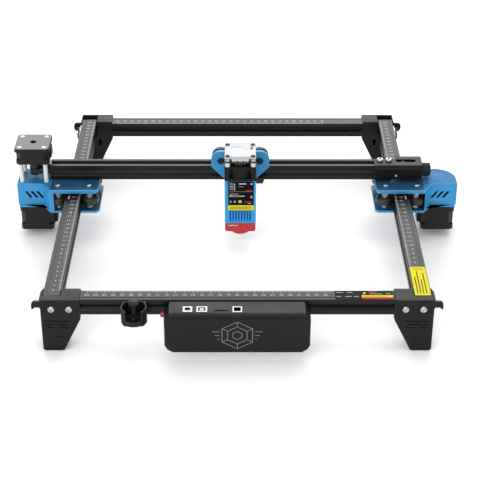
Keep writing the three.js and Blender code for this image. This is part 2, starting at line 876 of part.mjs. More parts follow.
// A roller for the bars' slots: bevelled shoulders either side of a flat tread.
function roller() {
  const outline = [
    [2.9, -WHEEL_HALF],
    [9.6, -WHEEL_HALF],
    [WHEEL_R, -2.7],
    [WHEEL_R, 2.7],
    [9.6, WHEEL_HALF],
    [2.9, WHEEL_HALF],
    [2.9, -WHEEL_HALF],
  ];
  return turned(outline, 24);
}

for (const [tag, side] of [
  ["left", -1],
  ["right", 1],
]) {
  ["outer_front", "outer_rear", "inner_front", "inner_rear"].forEach((spot, i) => {
    const [x, y] = ROLLER_SPOTS[i];
    add(gantry, "y_roller_" + tag + "_" + spot, roller(), "rubber", [side * x, y, BAR_Z]);
  });
}

// ---------------------------------------------------------------- carriage

const FACE_FRONT = -16.3;
const FACE_BACK = -12.3;
const X_ROLLERS = {
  top_left: [-24.5, BEAM_Z + WHEEL_OFFSET],
  top_right: [24.5, BEAM_Z + WHEEL_OFFSET],
  bottom: [0, BEAM_Z - WHEEL_OFFSET],
};

function carriagePlate() {
  const half = [
    [27, 122.4],
    [31.6, 120.8],
    [35, 117.6],
    [37, 113],
    [37, 100],
    [21.5, 84.2],
    [17, 84.2],
    [17, 61],
    [12.5, 56.5],
  ];
  const outline = [...half, ...half.map(([x, z]) => [-x, z]).reverse()];
  const plate = alongY(outline, FACE_FRONT, FACE_BACK);
  const recesses = [];
  const bolts = [];
  for (const [x, z] of Object.values(X_ROLLERS)) {
    recesses.push(axisToY(rod(0, 0, 5, -2.5, 1, 20)).translate([x, FACE_FRONT, z]));
    bolts.push(axisToY(rod(0, 0, 2.5, -8.4, 13.2, 12)).translate([x, 0, z]));
    bolts.push(axisToY(rod(0, 0, 4, 5.15, 12.5, 12)).translate([x, 0, z]));
    bolts.push(axisToY(rod(0, 0, 4, -8.4, -5.15, 6)).translate([x, 0, z]));
  }
  return union([cut(plate, recesses), ...bolts]);
}

add(carriage, "carriage_plate", carriagePlate(), "blue");
for (const [tag, [x, z]] of Object.entries(X_ROLLERS)) {
  add(carriage, "x_roller_" + tag, axisToY(roller()), "rubber", [x, 0, z]);
}

// The clamp that ties the carriage to the belt's front run, through the mouth of the beam's slot.
function beltClamp() {
  const base = box(-15, 15, FACE_BACK + 0.3, -10.4, BEAM_Z - 5.5, BEAM_Z + 5.5);
  const finger = box(-13, 13, -10.5, -7.8, BEAM_Z - 2.8, BEAM_Z + 2.8);
  return base.add(finger);
}

add(carriage, "belt_clamp", beltClamp(), "steel");

// A small end-of-travel switch beside the carriage plate.
function limitSwitch() {
  const body = box(17.4, 29.6, FACE_FRONT, -11, 76.2, 83.8);
  const lever = box(28.8, 30.6, -14.6, -12.6, 78.4, 81.6);
  return body.add(lever);
}

add(carriage, "limit_switch", limitSwitch(), "dark");

// ---------------------------------------------------------------- laser head

const BODY_LOW = 41.4;
const BODY_HIGH = 101.8;
const SLOTS_LOW = BODY_LOW + 3; // the cooling slots stop above the lower face
const HEAD_FRONT = HEAD_Y - HEAD_HALF;
const HEAD_BACK = HEAD_Y + HEAD_HALF;

function laserBody() {
  const corner = 1.2;
  const outline = [
    [HEAD_HALF - corner, HEAD_FRONT],
    [HEAD_HALF, HEAD_FRONT + corner],
    [HEAD_HALF, HEAD_BACK],
    [-HEAD_HALF, HEAD_BACK],
    [-HEAD_HALF, HEAD_FRONT + corner],
    [-HEAD_HALF + corner, HEAD_FRONT],
  ];
  const block = alongZ(outline, BODY_LOW, BODY_HIGH);
  const tools = [rod(0, HEAD_Y, 7, BODY_LOW - 1, BODY_LOW + 14, 24)];
  for (let i = 0; i < 8; i++) {
    const x = -12.6 + 3.6 * i;
    tools.push(box(x - 0.9, x + 0.9, HEAD_FRONT - 1, HEAD_FRONT + 7, SLOTS_LOW, BODY_HIGH + 1));
  }
  for (const side of [-1, 1]) {
    for (let i = 0; i < 6; i++) {
      const y = HEAD_FRONT + 12 + 4.4 * i;
      tools.push(box(side * 15, side * 21, y - 0.9, y + 0.9, SLOTS_LOW, BODY_HIGH + 1));
    }
  }
  const slide = box(-9, 9, HEAD_BACK - 0.5, FACE_FRONT - 0.35, 48, 97);
  return cut(block, tools).add(slide);
}

add(carriage, "laser_body", laserBody(), "blue");

const FAN_LOW = BODY_HIGH + GAP;
const FAN_HIGH = 121;

function fanFrame() {
  const ring = rod(0, 0, 18.9, 1, FAN_HIGH - FAN_LOW - 1, 28);
  const height = FAN_HIGH - FAN_LOW;
  const flanges = [
    [0, 2.6],
    [height - 2.6, height],
  ].map(([low, high]) => box(-HEAD_HALF, HEAD_HALF, -HEAD_HALF, HEAD_HALF, low, high));
  const columns = [];
  for (const a of [-1, 1]) {
    for (const b of [-1, 1]) {
      columns.push(box(a * 14.2, a * HEAD_HALF, b * 14.2, b * HEAD_HALF, 0, height));
    }
  }
  const bore = rod(0, 0, 17.6, -1, height + 1, 28);
  const struts = [0, 60, 120].map((angle) => box(-18, 18, -1, 1, 0, 1.8).rotate([0, 0, angle]));
  const hub = rod(0, 0, 8.4, 0, 1.8, 24);
  const pin = rod(0, 0, 1.5, 1, 9, 12);
  return union([cut(union([ring, ...flanges, ...columns]), [bore]), ...struts, hub, pin]);
}

add(carriage, "fan_frame", fanFrame(), "dark", [0, HEAD_Y, FAN_LOW]);

function fanRotor() {
  const hub = cut(rod(0, 0, 8.6, 0, 13.5, 24), [rod(0, 0, 1.9, -1, 8, 12)]);
  const blades = [];
  for (let i = 0; i < 7; i++) {
    const blade = box(7.6, 16.6, -0.6, 0.6, -5.4, 5.4).rotate([38, 0, 0]);
    blades.push(blade.translate([0, 0, 7]).rotate([0, 0, (360 / 7) * i]));
  }
  return union([hub, ...blades]);
}

add(carriage, "fan_rotor", fanRotor(), "dark", [0, HEAD_Y, FAN_LOW + 2.6]);

const POSTS = [
  [-16, -16],
  [16, -16],
  [-16, 16],
  [16, 16],
];

// The head's circuit board on four spacers, with its parts on top.
function headBoard() {
  const sheet = box(-19.6, 19.6, -19.6, 19.6, 127, 128.6);
  const spacers = POSTS.map(([x, y]) => rod(x, y, 3, FAN_HIGH + GAP, 127.5, 16));
  const parts = [
    box(-11, 11, -18.4, -13.6, 128, 132.2),
    box(-9, 4, -9, 6, 128, 130.4),
    box(6, 11, -8, -2, 128, 131.4),
    rod(8.4, 4, 2.6, 128, 132.6, 12),
  ];
  return union([sheet, ...spacers, ...parts]);
}

// The white cover plate over the board, on four more spacers.
function headCover() {
  const sheet = box(-19.6, 19.6, -19.8, 21.9, 133.2, 135);
  const spacers = POSTS.map(([x, y]) => rod(x, y, 3, 128.9, 133.7, 16));
  return union([sheet, ...spacers]);
}

add(carriage, "head_board", headBoard(), "green", [0, HEAD_Y, 0]);
add(carriage, "head_cover", headCover(), "white", [0, HEAD_Y, 0]);

// The tinted guard round the beam's way out, with a bowed lower edge.
function beamGuard() {
  const high = BODY_LOW - GAP;
  const outline = [
    [19.4, high],
    [19.4, 31.2],
    [17.6, 29.6],
    [13, 29.4],
    ...arc(0, 41.3, 16, -48, -132, 8),
    [-13, 29.4],
    [-17.6, 29.6],
    [-19.4, 31.2],
    [-19.4, high],
  ];
  const whole = alongY(outline, -19.6, 19.4);
  const inside = box(-17.4, 17.4, -17.6, 17.4, 20, high + 1);
  return cut(whole, [inside]);
}

add(carriage, "beam_guard", beamGuard(), "red", [0, HEAD_Y, 0]);

export default machine;
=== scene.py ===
# Looks of the desktop laser cutter: finishes, softened edges, screws, rulers, labels, camera and light.
import json
import math

import bmesh
import bpy
from mathutils import Matrix, Vector

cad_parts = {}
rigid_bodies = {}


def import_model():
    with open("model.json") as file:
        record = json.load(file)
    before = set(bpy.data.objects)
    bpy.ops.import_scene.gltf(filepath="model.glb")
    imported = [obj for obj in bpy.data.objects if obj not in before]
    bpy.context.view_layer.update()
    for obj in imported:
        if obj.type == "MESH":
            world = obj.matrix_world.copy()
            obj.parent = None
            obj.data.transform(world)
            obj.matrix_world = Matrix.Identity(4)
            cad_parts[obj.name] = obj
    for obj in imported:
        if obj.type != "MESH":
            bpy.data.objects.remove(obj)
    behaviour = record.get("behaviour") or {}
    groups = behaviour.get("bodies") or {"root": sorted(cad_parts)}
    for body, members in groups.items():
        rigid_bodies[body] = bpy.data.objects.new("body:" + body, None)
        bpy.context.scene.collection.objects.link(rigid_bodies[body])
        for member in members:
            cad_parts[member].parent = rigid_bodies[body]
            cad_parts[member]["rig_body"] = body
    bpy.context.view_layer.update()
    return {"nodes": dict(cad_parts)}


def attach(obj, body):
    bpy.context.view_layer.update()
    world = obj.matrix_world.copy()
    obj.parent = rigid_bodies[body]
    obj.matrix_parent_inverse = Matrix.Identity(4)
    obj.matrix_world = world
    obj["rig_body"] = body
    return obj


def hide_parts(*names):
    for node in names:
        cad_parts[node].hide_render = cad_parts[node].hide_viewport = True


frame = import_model()

# Lengths below are in millimetres, in the machine's own frame: x = 0 at its middle, y = 0 at the front
# faces of the legs, z = 0 on the table. The part's frame has its origin further back.
ORIGIN_Y = 229.15
RAIL_X = 210.25  # middle of a side rail
FRAME_TOP = 68.8  # top of the four bars
FRAME_DEPTH = 488.5
GANTRY_Y = 280.7  # middle of the beam, at rest
BEAM_Z = 88.5
PLATE_TOP = 78.2  # top of the upper bracket plates
SHELF_BOTTOM = 41.8  # underside of the lower bracket plates
PLATE_UNDERSIDE = 73.1  # axles and sleeves start below this
SLEEVE_R = 5.5  # reach of an axle's sleeve
CARRIAGE_BACK = GANTRY_Y - 12.2  # the carriage plate's axles start behind this
CARRIAGE_FRONT = GANTRY_Y - 13.85  # where the heads of the carriage's roller bolts sit
MOTOR_X = 261.5
MOTOR_SCREW = 15.5  # from a motor's middle to its screws
HEAD_X = 3.75
HEAD_Y = GANTRY_Y - 38.8
HEAD_FRONT = HEAD_Y - 19.8
GUARD_FRONT = HEAD_Y - 19.6
COVER_TOP = 135  # top of the head's clear cover
COVER_SCREW = 16  # from the head's middle to the cover's screws
BOX_FRONT = -27  # front face of the control box
ROLLER_Z = 58.8  # middle of the rollers that run on the side rails
SHARP_ANGLE = math.radians(32)  # faces that meet at more than this keep a sharp edge between them
FILM_GAP = 0.02  # a film starts this far above its surface


def metres(x, y, z):
    return Vector((x / 1000, (y - ORIGIN_Y) / 1000, z / 1000))


def millimetres(point):
    return point.x * 1000, point.y * 1000 + ORIGIN_Y, point.z * 1000


# ---------------------------------------------------------------- finishes

def rgb(text):
    """A hexadecimal sRGB colour as linear red, green, blue and alpha."""
    values = [int(text[i:i + 2], 16) / 255 for i in (0, 2, 4)]
    return [v / 12.92 if v <= 0.04045 else ((v + 0.055) / 1.055) ** 2.4 for v in values] + [1]


BROAD_TO_FINE = 0.012  # scale of the broad variation beside that of the fine grain
RELIEF_DEPTH = 0.0002  # metres


def finish(name, dark, light, rough, metal=0.0, grain=2500.0, bump=0.15, stretch=(1, 1, 1),
           coat=0.0, specular=0.5, bands=None):
    """A finish with broad and fine colour variation, uneven gloss and a fine surface texture.

    bands is an axis and a scale for a surface of cross ribs in place of the fine grain."""
    material = bpy.data.materials.new(name)
    material.use_nodes = True
    nodes = material.node_tree.nodes
    links = material.node_tree.links
    shader = nodes["Principled BSDF"]
    shader.inputs["Metallic"].default_value = metal
    shader.inputs["Coat Weight"].default_value = coat
    shader.inputs["Coat Roughness"].default_value = 0.15
    shader.inputs["Specular IOR Level"].default_value = specular
    coords = nodes.new("ShaderNodeTexCoord")
    mapping = nodes.new("ShaderNodeMapping")
    mapping.inputs["Scale"].default_value = stretch
    links.new(coords.outputs["Object"], mapping.inputs["Vector"])

    def noise(scale, detail):
        node = nodes.new("ShaderNodeTexNoise")
        node.inputs["Scale"].default_value = scale
        node.inputs["Detail"].default_value = detail
        node.inputs["Roughness"].default_value = 0.6
        links.new(mapping.outputs["Vector"], node.inputs["Vector"])
        return node.outputs["Fac"]

    broad = noise(grain * BROAD_TO_FINE, 3)
    fine = noise(grain, 5)
    blend = nodes.new("ShaderNodeMix")
    blend.data_type = "FLOAT"
    blend.inputs["Factor"].default_value = 0.45
    links.new(broad, blend.inputs["A"])
    links.new(fine, blend.inputs["B"])
    ramp = nodes.new("ShaderNodeValToRGB")
    ramp.color_ramp.elements[0].position = 0.32
    ramp.color_ramp.elements[0].color = rgb(dark)
    ramp.color_ramp.elements[1].position = 0.68
    ramp.color_ramp.elements[1].color = rgb(light)
    links.new(blend.outputs["Result"], ramp.inputs["Fac"])
    links.new(ramp.outputs["Color"], shader.inputs["Base Color"])
    gloss = nodes.new("ShaderNodeMapRange")
    gloss.inputs["From Min"].default_value = 0.3
    gloss.inputs["From Max"].default_value = 0.7
    gloss.inputs["To Min"].default_value = rough[0]
    gloss.inputs["To Max"].default_value = rough[1]
    links.new(blend.outputs["Result"], gloss.inputs["Value"])
    links.new(gloss.outputs["Result"], shader.inputs["Roughness"])
    height = fine
    if bands:
        wave = nodes.new("ShaderNodeTexWave")
        wave.bands_direction = bands[0]
        wave.inputs["Scale"].default_value = bands[1]
        links.new(coords.outputs["Object"], wave.inputs["Vector"])
        height = wave.outputs["Fac"]
    relief = nodes.new("ShaderNodeBump")
    relief.inputs["Strength"].default_value = bump
    relief.inputs["Distance"].default_value = RELIEF_DEPTH
    links.new(height, relief.inputs["Height"])
    links.new(relief.outputs["Normal"], shader.inputs["Normal"])
    return material


ALONG_X = (0.04, 1, 1)
ALONG_Y = (1, 0.04, 1)
ALONG_Z = (1, 1, 0.06)
BELT_RIBS = 157  # wave scale of a belt's ribs
FINISHES = {
    "bar_x": finish("anodised_along_x", "09090a", "0f0f10", (0.3, 0.42), 0.0, 2200, 0.1, ALONG_X,
                    specular=0.25),
    "bar_y": finish("anodised_along_y", "09090a", "0f0f10", (0.3, 0.42), 0.0, 2200, 0.1, ALONG_Y,
                    specular=0.25),
    "black_metal": finish("black_metal", "0a0a0b", "101011", (0.34, 0.48), 0.0, 2600, 0.12, specular=0.16),
    "plastic": finish("moulded_plastic", "0a0a0b", "111112", (0.44, 0.58), 0.0, 3400, 0.3, specular=0.25),
    # A lighter copy of the black finishes for rounded edges: a painted highlight.
    "plastic_edge_painted_highlight": finish("plastic_edge_painted_highlight", "1c1c1e", "262628", (0.36, 0.48), 0.0, 3400, 0.2, specular=0.35),
    "gloss_black": finish("gloss_black", "0c0c0d", "141416", (0.2, 0.32), 0.0, 1800, 0.05),
    "motor": finish("motor_black", "0d0d0e", "141415", (0.36, 0.5), 0.0, 2600, 0.2, specular=0.25),
    # A grey copy for the X motor's top face: a painted reflection on black paint.
    "motor_top_painted_reflection": finish("motor_top_painted_reflection", "5c5c5d", "6e6e6f", (0.46, 0.58), 0.0, 3000, 0.25, specular=0.4),
    "blue": finish("blue_anodised", "2c8bcf", "3a9de0", (0.3, 0.4), 0.35, 3000, 0.1, specular=0.3),
    # A lighter blue for rounded edges: a painted highlight.
    "blue_edge_painted_highlight": finish("blue_edge_painted_highlight", "4a98c8", "5fabd8", (0.3, 0.4), 0.3, 3000, 0.05, specular=0.3),
    "blue_cover": finish("blue_cover", "2e84b8", "3c97cd", (0.36, 0.48), 0.15, 3400, 0.16, specular=0.25),
    "belt_y": finish("belt_along_y", "101010", "191919", (0.55, 0.7), 0.0, 2400, 0.8,
                     bands=("Y", BELT_RIBS)),
    "belt_x": finish("belt_along_x", "101010", "191919", (0.55, 0.7), 0.0, 2400, 0.8,
                     bands=("X", BELT_RIBS)),
    "roller": finish("roller_plastic", "171717", "222222", (0.28, 0.4), 0.0, 1800, 0.08),
    "steel": finish("nickel_steel", "a2a4a7", "bfc1c4", (0.16, 0.28), 1.0, 3200, 0.08),
    "brushed": finish("turned_steel", "868a8e", "a2a5a9", (0.26, 0.4), 1.0, 2600, 0.15, ALONG_Z),
    # blue_plate and the lighter blue front finish are copies of one blue: painted shade on the plates' tops
    # and sides, painted light on their front edges.
    "blue_plate": finish("blue_plate", "183f5c", "22557c", (0.34, 0.46), 0.15, 3000, 0.1, specular=0.22),
    # A darker copy of the cover's blue: painted shade on the drive covers' tops.
    "blue_top_painted_shade": finish("blue_cover_painted_shade", "235f8c", "2e74a2", (0.38, 0.5), 0.0, 3400, 0.16, specular=0.1),
    "blue_front_painted_light": finish("blue_front_painted_light", "2e86bc", "3c98ce", (0.32, 0.44), 0.2, 3000, 0.1, specular=0.3),
    "blue_carriage": finish("blue_carriage", "3488bf", "439bd0", (0.3, 0.42), 0.25, 3000, 0.1, specular=0.3),
    "bright_steel": finish("bright_steel", "d0d2d4", "e4e6e8", (0.24, 0.36), 0.3, 3000, 0.06),
    "cover_top": finish("clear_cover", "bcbebf", "cccecf", (0.4, 0.52), 0.0, 2200, 0.06, specular=0.15),
    "cover_edge": finish("clear_cover_edge", "6c6e70", "808284", (0.34, 0.46), 0.0, 2200, 0.06),
    "pin_grey": finish("pin_grey", "1c1c1e", "28282a", (0.44, 0.56), 0.0, 2600, 0.1, specular=0.2),
    "dark_steel": finish("dark_steel", "2a2a2c", "3b3b3e", (0.28, 0.42), 0.8, 2600, 0.1),
    "white": finish("white_nylon", "d4d4d2", "e2e2e0", (0.3, 0.42), 0.0, 2200, 0.06, specular=0.3),
    "board": finish("circuit_board", "10301f", "19462e", (0.3, 0.45), 0.0, 1500, 0.12),
    "board_light": finish("board_white", "c9cbcb", "e6e7e6", (0.35, 0.5), 0.0, 1500, 0.12),
    "chip": finish("chip_black", "151516", "202022", (0.4, 0.55), 0.0, 2600, 0.15),
    "red": finish("red_acrylic", "a41420", "ba1c2a", (0.16, 0.26), 0.0, 1500, 0.03, coat=0.3, specular=0.35),
    # A lighter red for the guard's rounded edges: a painted highlight.
    "red_edge_painted_highlight": finish("red_edge_painted_highlight", "c23a44", "d04c56", (0.18, 0.28), 0.0, 1500, 0.03),
    "red_button": finish("red_button", "7c0f18", "941a24", (0.24, 0.36), 0.0, 2200, 0.1),
    "ink": finish("ruler_ink", "a9aaab", "c4c5c6", (0.45, 0.6), 0.0, 4000, 0.05),
    "ink_white": finish("white_ink", "b4b5b6", "c8c9ca", (0.4, 0.5), 0.0, 4000, 0.05),
    "ink_grey": finish("grey_ink", "808286", "9c9ea2", (0.4, 0.55), 0.0, 4000, 0.05),
    "film_black": finish("film_black", "0b0b0c", "131315", (0.45, 0.6), 0.0, 2400, 0.05, specular=0.06),
    "film_yellow": finish("film_yellow", "c9bc1a", "d8cb28", (0.45, 0.6), 0.0, 2400, 0.05, specular=0.06),
    "film_red": finish("film_red", "981820", "ac242c", (0.45, 0.6), 0.0, 2400, 0.05, specular=0.06),
    "film_grey": finish("film_grey", "a4a6a6", "b6b8b8", (0.35, 0.48), 0.0, 2400, 0.05),
}

# ---------------------------------------------------------------- drawing

# Roller axles: x and y from the gantry's middle, and x and z from the carriage's.
ROLLER_SPOTS = {
    "outer_front": (RAIL_X + 20, -26),
    "outer_rear": (RAIL_X + 20, 26),
    "inner_front": (RAIL_X - 20, -26),
    "inner_rear": (RAIL_X - 20, 26),
}
X_ROLLER_SPOTS = {"top_left": (-24.5, 20), "top_right": (24.5, 20), "bottom": (0, -20)}

AXES = {"x": Vector((1, 0, 0)), "y": Vector((0, 1, 0)), "z": Vector((0, 0, 1))}


def facing(at, direction):
    """Matrix that puts local +z along a direction such as '-y' and the origin at a point, in mm."""
    sign = -1 if direction[0] == "-" else 1
    axis = AXES[direction[-1]] * sign
    return Matrix.Translation(Vector(at)) @ axis.to_track_quat("Z", "Y").to_matrix().to_4x4()


def rectangle(xa, ya, xb, yb):
    return [(xa, ya), (xb, ya), (xb, yb), (xa, yb)]


def ring(count):
    """Angles once round, in radians."""
    return [2 * math.pi * i / count for i in range(count)]


class Part:
    """One visible piece, drawn in millimetres and kept in the part's frame."""

    def __init__(self, name):
        self.name = name
        self.bm = bmesh.new()
        self.finishes = []

    def index(self, key):
        """The material slot of a finish."""
        if key not in self.finishes:
            self.finishes.append(key)
        return self.finishes.index(key)

    def add(self, points, faces, key, matrix=None, smooth=False):
        index = self.index(key)
        matrix = matrix or Matrix.Identity(4)
        verts = [self.bm.verts.new(matrix @ Vector(p)) for p in points]
        made = []
        for face in faces:
            try:
                new = self.bm.faces.new([verts[i] for i in face])
            except ValueError:
                continue
            new.material_index = index
            new.smooth = smooth
            made.append(new)
        return made

    def prism(self, outline, low, high, key, matrix=None, bevel=0.0):
        """An outline in local xy, from z = low to z = high, with an optional softened rim."""
        count = len(outline)
        twice_area = sum(outline[i - 1][0] * outline[i][1] - outline[i][0] * outline[i - 1][1]
                         for i in range(count))
        if twice_area < 0:
            outline = outline[::-1]
        points = [(x, y, low) for x, y in outline] + [(x, y, high) for x, y in outline]
        faces = [list(range(count))[::-1], [count + i for i in range(count)]]
        faces += [[i, (i + 1) % count, count + (i + 1) % count, count + i] for i in range(count)]
        made = self.add(points, faces, key, matrix)
        if bevel:
            edges = list(dict.fromkeys(edge for face in made for edge in face.edges))
            bmesh.ops.bevel(self.bm, geom=edges, offset=bevel, segments=2, affect="EDGES",
                            clamp_overlap=True, material=self.index(key))

    def lathe(self, profile, key, matrix, count=24, lobes=None):
        """Turns [radius, height] points about local z.

        lobes(angle) shapes the points that are marked with a third value."""
        points = []
        for radius, height, *mark in profile:
            for angle in ring(count):
                size = radius * (lobes(angle) if mark and lobes else 1)
                points.append((size * math.cos(angle), size * math.sin(angle), height))
        faces = []
        for row in range(len(profile) - 1):
            for i in range(count):
                a, b = row * count + i, row * count + (i + 1) % count
                faces.append([a, b, b + count, a + count])
        faces.append(list(range(count))[::-1])
        last = (len(profile) - 1) * count
        faces.append([last + i for i in range(count)])
        self.add(points, faces, key, matrix, True)

    def stroke(self, points, width, lift, key, matrix, closed=False):
        """A printed line along local xy points."""
        for (ax, ay), (bx, by) in zip(points, points[1:] + (points[:1] if closed else [])):
            length = math.hypot(bx - ax, by - ay) or 1
            tx, ty = (bx - ax) / length * width / 2, (by - ay) / length * width / 2
            nx, ny = -ty, tx
            quad = [(ax + nx - tx, ay + ny - ty, lift), (ax - nx - tx, ay - ny - ty, lift),
                    (bx - nx + tx, by - ny + ty, lift), (bx + nx + tx, by + ny + ty, lift)]
            self.add(quad, [[0, 1, 2, 3]], key, matrix)

    def patch(self, low, high, lift, key, matrix):
        """A printed rectangle in local xy."""
        quad = [(x, y, lift) for x, y in rectangle(*low, *high)]
        self.add(quad, [[0, 1, 2, 3]], key, matrix)

    def done(self, body, replaces=()):
        """Makes the object, and gives it its body and the CAD nodes that it replaces."""
        for vert in self.bm.verts:
            vert.co = metres(*vert.co)
        mesh = bpy.data.meshes.new(self.name)
        self.bm.to_mesh(mesh)
        self.bm.free()
        for key in self.finishes:
            mesh.materials.append(FINISHES[key])
        mesh.set_sharp_from_angle(angle=SHARP_ANGLE)
        piece = bpy.data.objects.new(self.name, mesh)
        bpy.context.scene.collection.objects.link(piece)
        even_shading(piece)
        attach(piece, body)
        if replaces:
            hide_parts(*replaces)


def even_shading(piece):
    """Large flat faces keep a straight highlight beside their rounded edges."""
    weighted = piece.modifiers.new("even_shading", "WEIGHTED_NORMAL")
    weighted.keep_sharp = True


def hexagon(angle):
    """Radius of a hexagonal recess beside that of the circle round it."""
    return math.cos(math.pi / 6) / math.cos((angle + math.pi / 6) % (math.pi / 3) - math.pi / 6)


def cross(angle):
    """Radius of a cross recess beside that of the circle round it."""
    return 1.0 if abs(math.sin(2 * angle)) < 0.3 else 0.38


def screw(part, at, direction, radius, height, key="steel", drive="hex"):
    """A screw head with a domed rim and a driver recess, standing on a surface at a point."""
    matrix = facing(at, direction)
    hole = radius * (0.5 if drive == "hex" else 0.62)
    profile = [
        (radius * 0.96, 0),
        (radius, height * 0.3),
        (radius * 0.93, height * 0.66),
        (radius * 0.78, height * 0.92),
        (radius * 0.68, height),
        (hole, height, 1),
        (hole * 0.94, height * 0.4, 1),
        (0.01, height * 0.34),
    ]
    part.lathe(profile, key, matrix, 24, hexagon if drive == "hex" else cross)


# ---------------------------------------------------------------- softened copies of the CAD nodes

LEAST_ROUNDED_ANGLE = math.radians(35)  # flatter edges stay as they are


def softened(node, key, edge_key=None, width=0.3, paint=None):
    """A copy of a CAD node with its long outer edges rounded off, and a finish for each of its areas.

    paint(centre, normal) names the finish of a face, or gives None to leave it as it is."""
    source = frame["nodes"][node]
    bm = bmesh.new()
    bm.from_mesh(source.data)
    bmesh.ops.remove_doubles(bm, verts=bm.verts, dist=2e-6)
    bmesh.ops.dissolve_limit(bm, angle_limit=math.radians(1), verts=bm.verts, edges=bm.edges)
    # The rounded edges take edge_key; most edge finishes are lighter copies of the main finish, a painted
    # highlight along the edges.
    keys = [key, edge_key or key]
    if width:
        size = width / 1000
        lengths = {vert: min((edge.calc_length() for edge in vert.link_edges), default=0)
                   for vert in bm.verts}
        chosen = []
        for edge in bm.edges:
            if not edge.is_manifold or not edge.is_convex or edge.calc_length() < 5 * size:
                continue
            if edge.calc_face_angle(0) < LEAST_ROUNDED_ANGLE:
                continue
            if min(lengths[vert] for vert in edge.verts) < 2.4 * size:
                continue
            chosen.append(edge)
        if chosen:
            bmesh.ops.bevel(bm, geom=chosen, offset=size, segments=2, affect="EDGES",
                            clamp_overlap=True, material=1, loop_slide=False)
    for face in bm.faces:
        face.smooth = True
        if paint and face.material_index == 0:
            new = paint(millimetres(face.calc_center_median()), face.normal)
            if new:
                if new not in keys:
                    keys.append(new)
                face.material_index = keys.index(new)
    mesh = bpy.data.meshes.new(node + "_skin")
    bm.to_mesh(mesh)
    bm.free()
    for name in keys:
        mesh.materials.append(FINISHES[name])
    mesh.set_sharp_from_angle(angle=SHARP_ANGLE)
    piece = bpy.data.objects.new(node + "_skin", mesh)
    bpy.context.scene.collection.objects.link(piece)
    even_shading(piece)
    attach(piece, source["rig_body"])
    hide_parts(node)


def coat(node, key):
    """Gives a CAD node that stays in view its finish."""
    data = frame["nodes"][node]
    if not data.material_slots:
        data.data.materials.append(FINISHES[key])
    for place in data.material_slots:
        place.link = "OBJECT"
        place.material = FINISHES[key]


for node in ("front_bar", "rear_bar", "x_beam"):
    coat(node, "bar_x")
for node in ("left_rail", "right_rail"):
    coat(node, "bar_y")
for node in ("y_belt_left", "y_belt_right", "y_belt_loop_left", "y_belt_loop_right"):
    coat(node, "belt_y")
coat("x_belt", "belt_x")
for node in ("x_idler", "belt_clamp", "y_pulley_left", "y_pulley_right"):
    coat(node, "brushed")
for node in ("idler_fork", "x_pulley"):
    coat(node, "dark_steel")
for tag in ("front_left", "front_right", "rear_left", "rear_right"):
    softened("leg_" + tag, "plastic", "plastic_edge_painted_highlight", 0.5)
    softened("motor_post_" + tag, "white", None, 0.3)


def plate_paint(centre, normal):
    """The axle bolts and sleeves below a bracket plate are nickel-plated; its front edge is painted lighter
    than its top, painted light.
    """
    near = min(math.hypot(abs(centre[0]) - x, centre[1] - GANTRY_Y - y) for x, y in ROLLER_SPOTS.values())
    if near < SLEEVE_R and centre[2] < PLATE_UNDERSIDE:
        return "bright_steel"
    return "blue_front_painted_light" if normal.y < -0.5 else None


def shelf_paint(centre, normal):
    """The front edge of a lower plate is painted lighter than its top: painted light."""
    return "blue_front_painted_light" if normal.y < -0.5 else None


def cover_paint(centre, normal):
    """The top of a drive cover is painted darker than its sides: painted shade."""
    return "blue_top_painted_shade" if normal.z > 0.9 else None


for tag in ("left", "right"):
    softened("upper_plate_" + tag, "blue_plate", "blue_edge_painted_highlight", 0.7, plate_paint)
    softened("lower_plate_" + tag, "blue_plate", "blue_edge_painted_highlight", 0.4, shelf_paint)
    softened("drive_cover_" + tag, "blue_cover", "blue_edge_painted_highlight", 0.5, cover_paint)
    softened("y_motor_" + tag, "motor", "plastic_edge_painted_highlight", 0.4, None)


def top_reflection_paint(centre, normal):
    """The top face of the X motor is painted grey: a painted reflection on the black motor."""
    return "motor_top_painted_reflection" if normal.z > 0.9 and centre[2] > 127 else None


softened("x_motor", "motor", "plastic_edge_painted_highlight", 0.4, top_reflection_paint)
softened("tensioner_block", "black_metal", "plastic_edge_painted_highlight", 0.4, None)
softened("tensioner_knob", "plastic", "plastic_edge_painted_highlight", 0.25, None)
softened("control_case", "plastic", "plastic_edge_painted_highlight", 0.3, None)
softened("control_back_plate", "black_metal", None, 0.2, None)
softened("gauge_cup", "plastic", "plastic_edge_painted_highlight", 0.35, None)
softened("gauge_pin", "pin_grey", None, 0, None)
softened("power_button", "red_button", None, 0, None)
softened("limit_switch", "chip", "plastic_edge_painted_highlight", 0.3, None)
softened("laser_body", "blue", "blue_edge_painted_highlight", 0.4, None)
softened("fan_frame", "plastic", "plastic_edge_painted_highlight", 0.35, None)
softened("fan_rotor", "plastic", None, 0, None)
softened("beam_guard", "red", "red_edge_painted_highlight", 0.5, None)
softened("head_cover", "cover_top", "cover_edge", 0.35, None)


def carriage_paint(centre, normal):
    """The axles behind the carriage plate are steel."""
    return "steel" if centre[1] > CARRIAGE_BACK else None


softened("carriage_plate", "blue_carriage", "blue_edge_painted_highlight", 0.5, carriage_paint)


def control_paint(centre, normal):
    """Sockets have a white rim on top and a black inside; the board is green with black chips."""
    x, y, z = centre
    rim, tongue_end, sockets_start = 66.5, 64.5, 50
    socket_back, board_front = -9.8, -9.7
    if z > rim and normal.z > 0.9:
        return "white"
    if z > tongue_end and abs(x + 39.6) < 3 and abs(y + 15.4) < 1.6:
        return "white"
    if z > sockets_start and y < socket_back:
        return "gloss_black"
    return "chip" if y < board_front else None


softened("control_board", "board", None, 0, control_paint)


def head_board_paint(centre, normal):
    """The head's board stands on white sleeves and carries light parts."""
    z = centre[2]
    underside, parts_start = 126.9, 128.7
    if z < underside:
        return "white"
    return "board_light" if z > parts_start else None


softened("head_board", "board", None, 0, head_board_paint)

# ---------------------------------------------------------------- rollers

